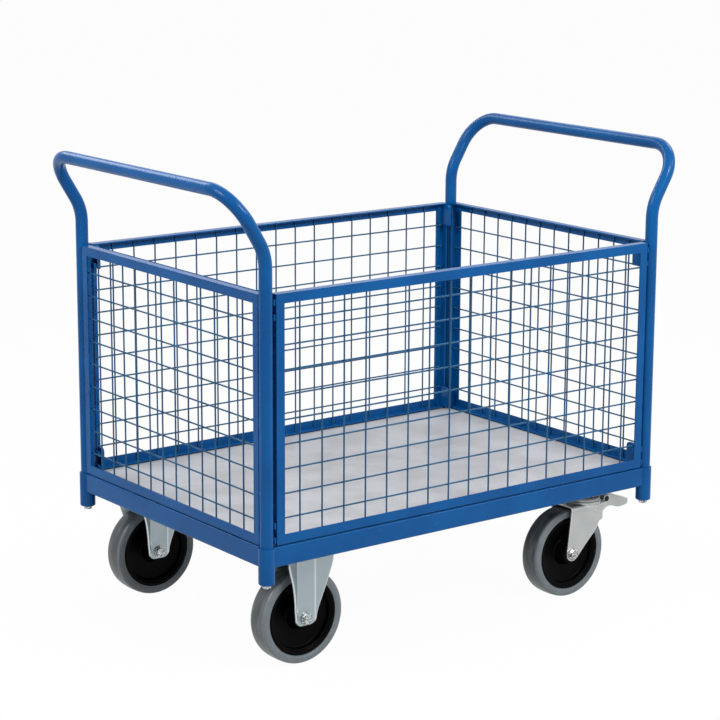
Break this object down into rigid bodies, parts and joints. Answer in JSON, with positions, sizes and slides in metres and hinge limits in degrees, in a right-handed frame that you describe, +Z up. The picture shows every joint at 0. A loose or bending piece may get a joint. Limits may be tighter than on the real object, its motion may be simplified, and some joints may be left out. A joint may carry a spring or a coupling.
{
  "type": "transport trolley",
  "caption": "Platform trolley with wire mesh sides, a tube push handle at each end, fixed casters at one end and braked swivel casters at the other",
  "frame": {"origin": "on the floor below the centre of the trolley", "axes": "X along the length with the swivel casters at +X, Y across, Z up"},
  "size_m": [1.202, 0.7236, 1.0035],
  "materials": {
    "blue_powder_coat": "semi-gloss blue powder coat",
    "blue_wire": "semi-gloss blue powder coat on drawn wire",
    "blue_underframe": "semi-gloss blue powder coat, underside",
    "deck_laminate": "light grey laminated board, satin",
    "grey_rubber": "matt non-marking grey rubber",
    "black_rim": "moulded black plastic, satin",
    "zinc_sheet": "zinc plated pressed sheet",
    "zinc_fastener": "zinc plated fastener",
    "bright_steel": "ground steel"
  },
  "bodies": {
    "chassis": {"caster_beam_left": "blue_underframe", "caster_beam_right": "blue_underframe", "caster_bolts": "zinc_fastener", "caster_nuts": "zinc_fastener", "deck_board": "deck_laminate", "deck_screws": "zinc_fastener", "end_frame_left": "blue_powder_coat", "end_frame_right": "blue_powder_coat", "end_mesh_left": "blue_wire", "end_mesh_right": "blue_wire", "fixed_axle_bolts": "zinc_fastener", "fixed_axle_nuts": "zinc_fastener", "fixed_axle_sleeves": "bright_steel", "fixed_fork_front": "zinc_sheet", "fixed_fork_rear": "zinc_sheet", "handle_left": "blue_powder_coat", "handle_right": "blue_powder_coat", "hook_lugs": "blue_powder_coat", "hook_pins": "blue_powder_coat", "king_pins": "bright_steel", "middle_beam": "blue_underframe", "rail_front": "blue_powder_coat", "rail_left": "blue_powder_coat", "rail_rear": "blue_powder_coat", "rail_right": "blue_powder_coat", "socket_bolts": "zinc_fastener", "socket_front_left": "blue_powder_coat", "socket_front_right": "blue_powder_coat", "socket_rear_left": "blue_powder_coat", "socket_rear_right": "blue_powder_coat", "swivel_balls": "bright_steel", "swivel_plate_front": "zinc_sheet", "swivel_plate_rear": "zinc_sheet", "tube_plugs": "bright_steel"},
    "side_front": {"side_frame_front": "blue_powder_coat", "side_mesh_front": "blue_wire", "hook_plates_front": "blue_powder_coat"},
    "wheel_front_left": {"rim_front_left": "black_rim", "tyre_front_left": "grey_rubber", "wheel_bearing_front_left": "bright_steel"},
    "swivel_front": {"swivel_fork_front": "zinc_sheet", "swivel_axle_front": "zinc_fastener", "pedal_pin_front": "zinc_fastener"},
    "wheel_front_right": {"rim_front_right": "black_rim", "tyre_front_right": "grey_rubber", "wheel_bearing_front_right": "bright_steel"},
    "pedal_front": {"brake_pedal_front": "zinc_sheet"},
    "side_rear": {"side_frame_rear": "blue_powder_coat", "side_mesh_rear": "blue_wire", "hook_plates_rear": "blue_powder_coat"},
    "wheel_rear_left": {"rim_rear_left": "black_rim", "tyre_rear_left": "grey_rubber", "wheel_bearing_rear_left": "bright_steel"},
    "swivel_rear": {"swivel_fork_rear": "zinc_sheet", "swivel_axle_rear": "zinc_fastener", "pedal_pin_rear": "zinc_fastener"},
    "wheel_rear_right": {"rim_rear_right": "black_rim", "tyre_rear_right": "grey_rubber", "wheel_bearing_rear_right": "bright_steel"},
    "pedal_rear": {"brake_pedal_rear": "zinc_sheet"}
  },
  "joints": [
    {"name": "side_front_lift", "type": "slide", "parent": "chassis", "child": "side_front", "axis": [0, 0, 1], "range_m": [0, 0.12]},
    {"name": "wheel_front_left_roll", "type": "hinge", "parent": "chassis", "child": "wheel_front_left", "pos_m": [-0.3925, -0.278, 0.1], "axis": [0, 1, 0], "continuous": true},
    {"name": "swivel_front_turn", "type": "hinge", "parent": "chassis", "child": "swivel_front", "pos_m": [0.3925, -0.278, 0.22], "axis": [0, 0, 1], "continuous": true},
    {"name": "wheel_front_right_roll", "type": "hinge", "parent": "swivel_front", "child": "wheel_front_right", "pos_m": [0.3345, -0.278, 0.1], "axis": [0, 1, 0], "continuous": true},
    {"name": "pedal_front_press", "type": "hinge", "parent": "swivel_front", "child": "pedal_front", "pos_m": [0.4005, -0.278, 0.189], "axis": [0, 1, 0], "range_deg": [0, 20]},
    {"name": "side_rear_lift", "type": "slide", "parent": "chassis", "child": "side_rear", "axis": [0, 0, 1], "range_m": [0, 0.12]},
    {"name": "wheel_rear_left_roll", "type": "hinge", "parent": "chassis", "child": "wheel_rear_left", "pos_m": [-0.3925, 0.278, 0.1], "axis": [0, 1, 0], "continuous": true},
    {"name": "swivel_rear_turn", "type": "hinge", "parent": "chassis", "child": "swivel_rear", "pos_m": [0.3925, 0.278, 0.22], "axis": [0, 0, 1], "continuous": true},
    {"name": "wheel_rear_right_roll", "type": "hinge", "parent": "swivel_rear", "child": "wheel_rear_right", "pos_m": [0.3345, 0.278, 0.1], "axis": [0, 1, 0], "continuous": true},
    {"name": "pedal_rear_press", "type": "hinge", "parent": "swivel_rear", "child": "pedal_rear", "pos_m": [0.4005, 0.278, 0.189], "axis": [0, 1, 0], "range_deg": [0, 20]}
  ]
}
